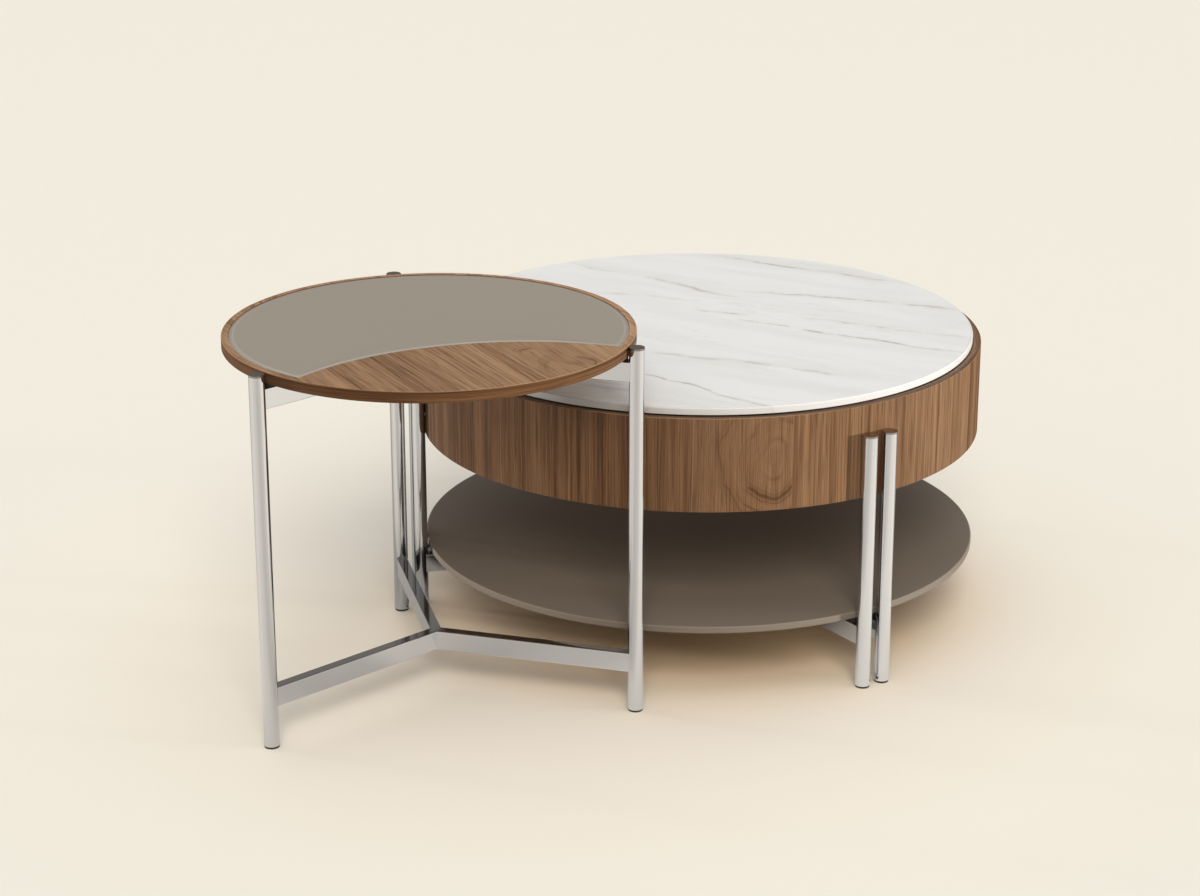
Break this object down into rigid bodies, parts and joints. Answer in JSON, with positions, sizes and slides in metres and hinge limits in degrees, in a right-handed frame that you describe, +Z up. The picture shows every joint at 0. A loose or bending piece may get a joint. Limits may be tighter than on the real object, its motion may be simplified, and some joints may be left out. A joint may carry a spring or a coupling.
{
  "type": "glass nesting table",
  "caption": "Round nesting tables: a low walnut drum table with a pale slab top and open shelf, and a taller side table with a glass crescent in its top that slides over it.",
  "frame": {"origin": "on the floor, under the middle of the set's outline", "axes": "+X from the side table to the coffee table, the way the side table slides in; +Z up"},
  "size_m": [1.1072, 0.7558, 0.47],
  "materials": {
    "chrome": "polished chrome plate",
    "walnut": "walnut veneer, satin",
    "stone_look_glass": "polished, pale with grey veins",
    "taupe_glass": "back-painted taupe, satin",
    "taupe_lacquer": "taupe satin lacquer on board",
    "raw_board": "bare fibreboard",
    "rubber": "matt black",
    "silicone": "clear silicone",
    "black_plastic": "matt black",
    "zinc_steel": "zinc plated",
    "brass": "plain"
  },
  "bodies": {
    "coffee_table": {"coffee_leg_bolts": "zinc_steel", "coffee_leg_caps": "chrome", "coffee_leg_far_a": "chrome", "coffee_leg_far_b": "chrome", "coffee_leg_front_a": "chrome", "coffee_leg_front_b": "chrome", "coffee_leg_glides": "black_plastic", "coffee_leg_rear_a": "chrome", "coffee_leg_rear_b": "chrome", "coffee_leg_slugs": "zinc_steel", "coffee_leg_washers": "zinc_steel", "drum_base": "raw_board", "drum_base_screws": "zinc_steel", "drum_deck": "raw_board", "drum_deck_screws": "zinc_steel", "drum_hoop": "walnut", "drum_rib_lower": "raw_board", "drum_rib_upper": "raw_board", "leg_block_far": "raw_board", "leg_block_front": "raw_board", "leg_block_rear": "raw_board", "marble_top": "stone_look_glass", "marble_top_pads": "silicone", "shelf_bar_far_a": "chrome", "shelf_bar_far_b": "chrome", "shelf_bar_front_a": "chrome", "shelf_bar_front_b": "chrome", "shelf_bar_rear_a": "chrome", "shelf_bar_rear_b": "chrome", "shelf_pads": "rubber", "shelf_panel": "taupe_lacquer"},
    "side_table": {"glass_bond_dots": "silicone", "glass_crescent": "taupe_glass", "side_leg_caps": "chrome", "side_leg_front": "chrome", "side_leg_glides": "black_plastic", "side_leg_outer": "chrome", "side_leg_rear": "chrome", "side_stretcher_front": "chrome", "side_stretcher_outer": "chrome", "side_stretcher_rear": "chrome", "side_top_bar_front": "chrome", "side_top_bar_outer": "chrome", "side_top_bar_rear": "chrome", "side_top_board": "walnut", "top_bar_pads": "rubber", "top_board_inserts": "brass", "top_board_screws": "zinc_steel"}
  },
  "joints": [
    {"name": "nest_slide", "type": "slide", "parent": "coffee_table", "child": "side_table", "axis": [1, 0, 0], "range_m": [-0.3, 0.01]}
  ]
}
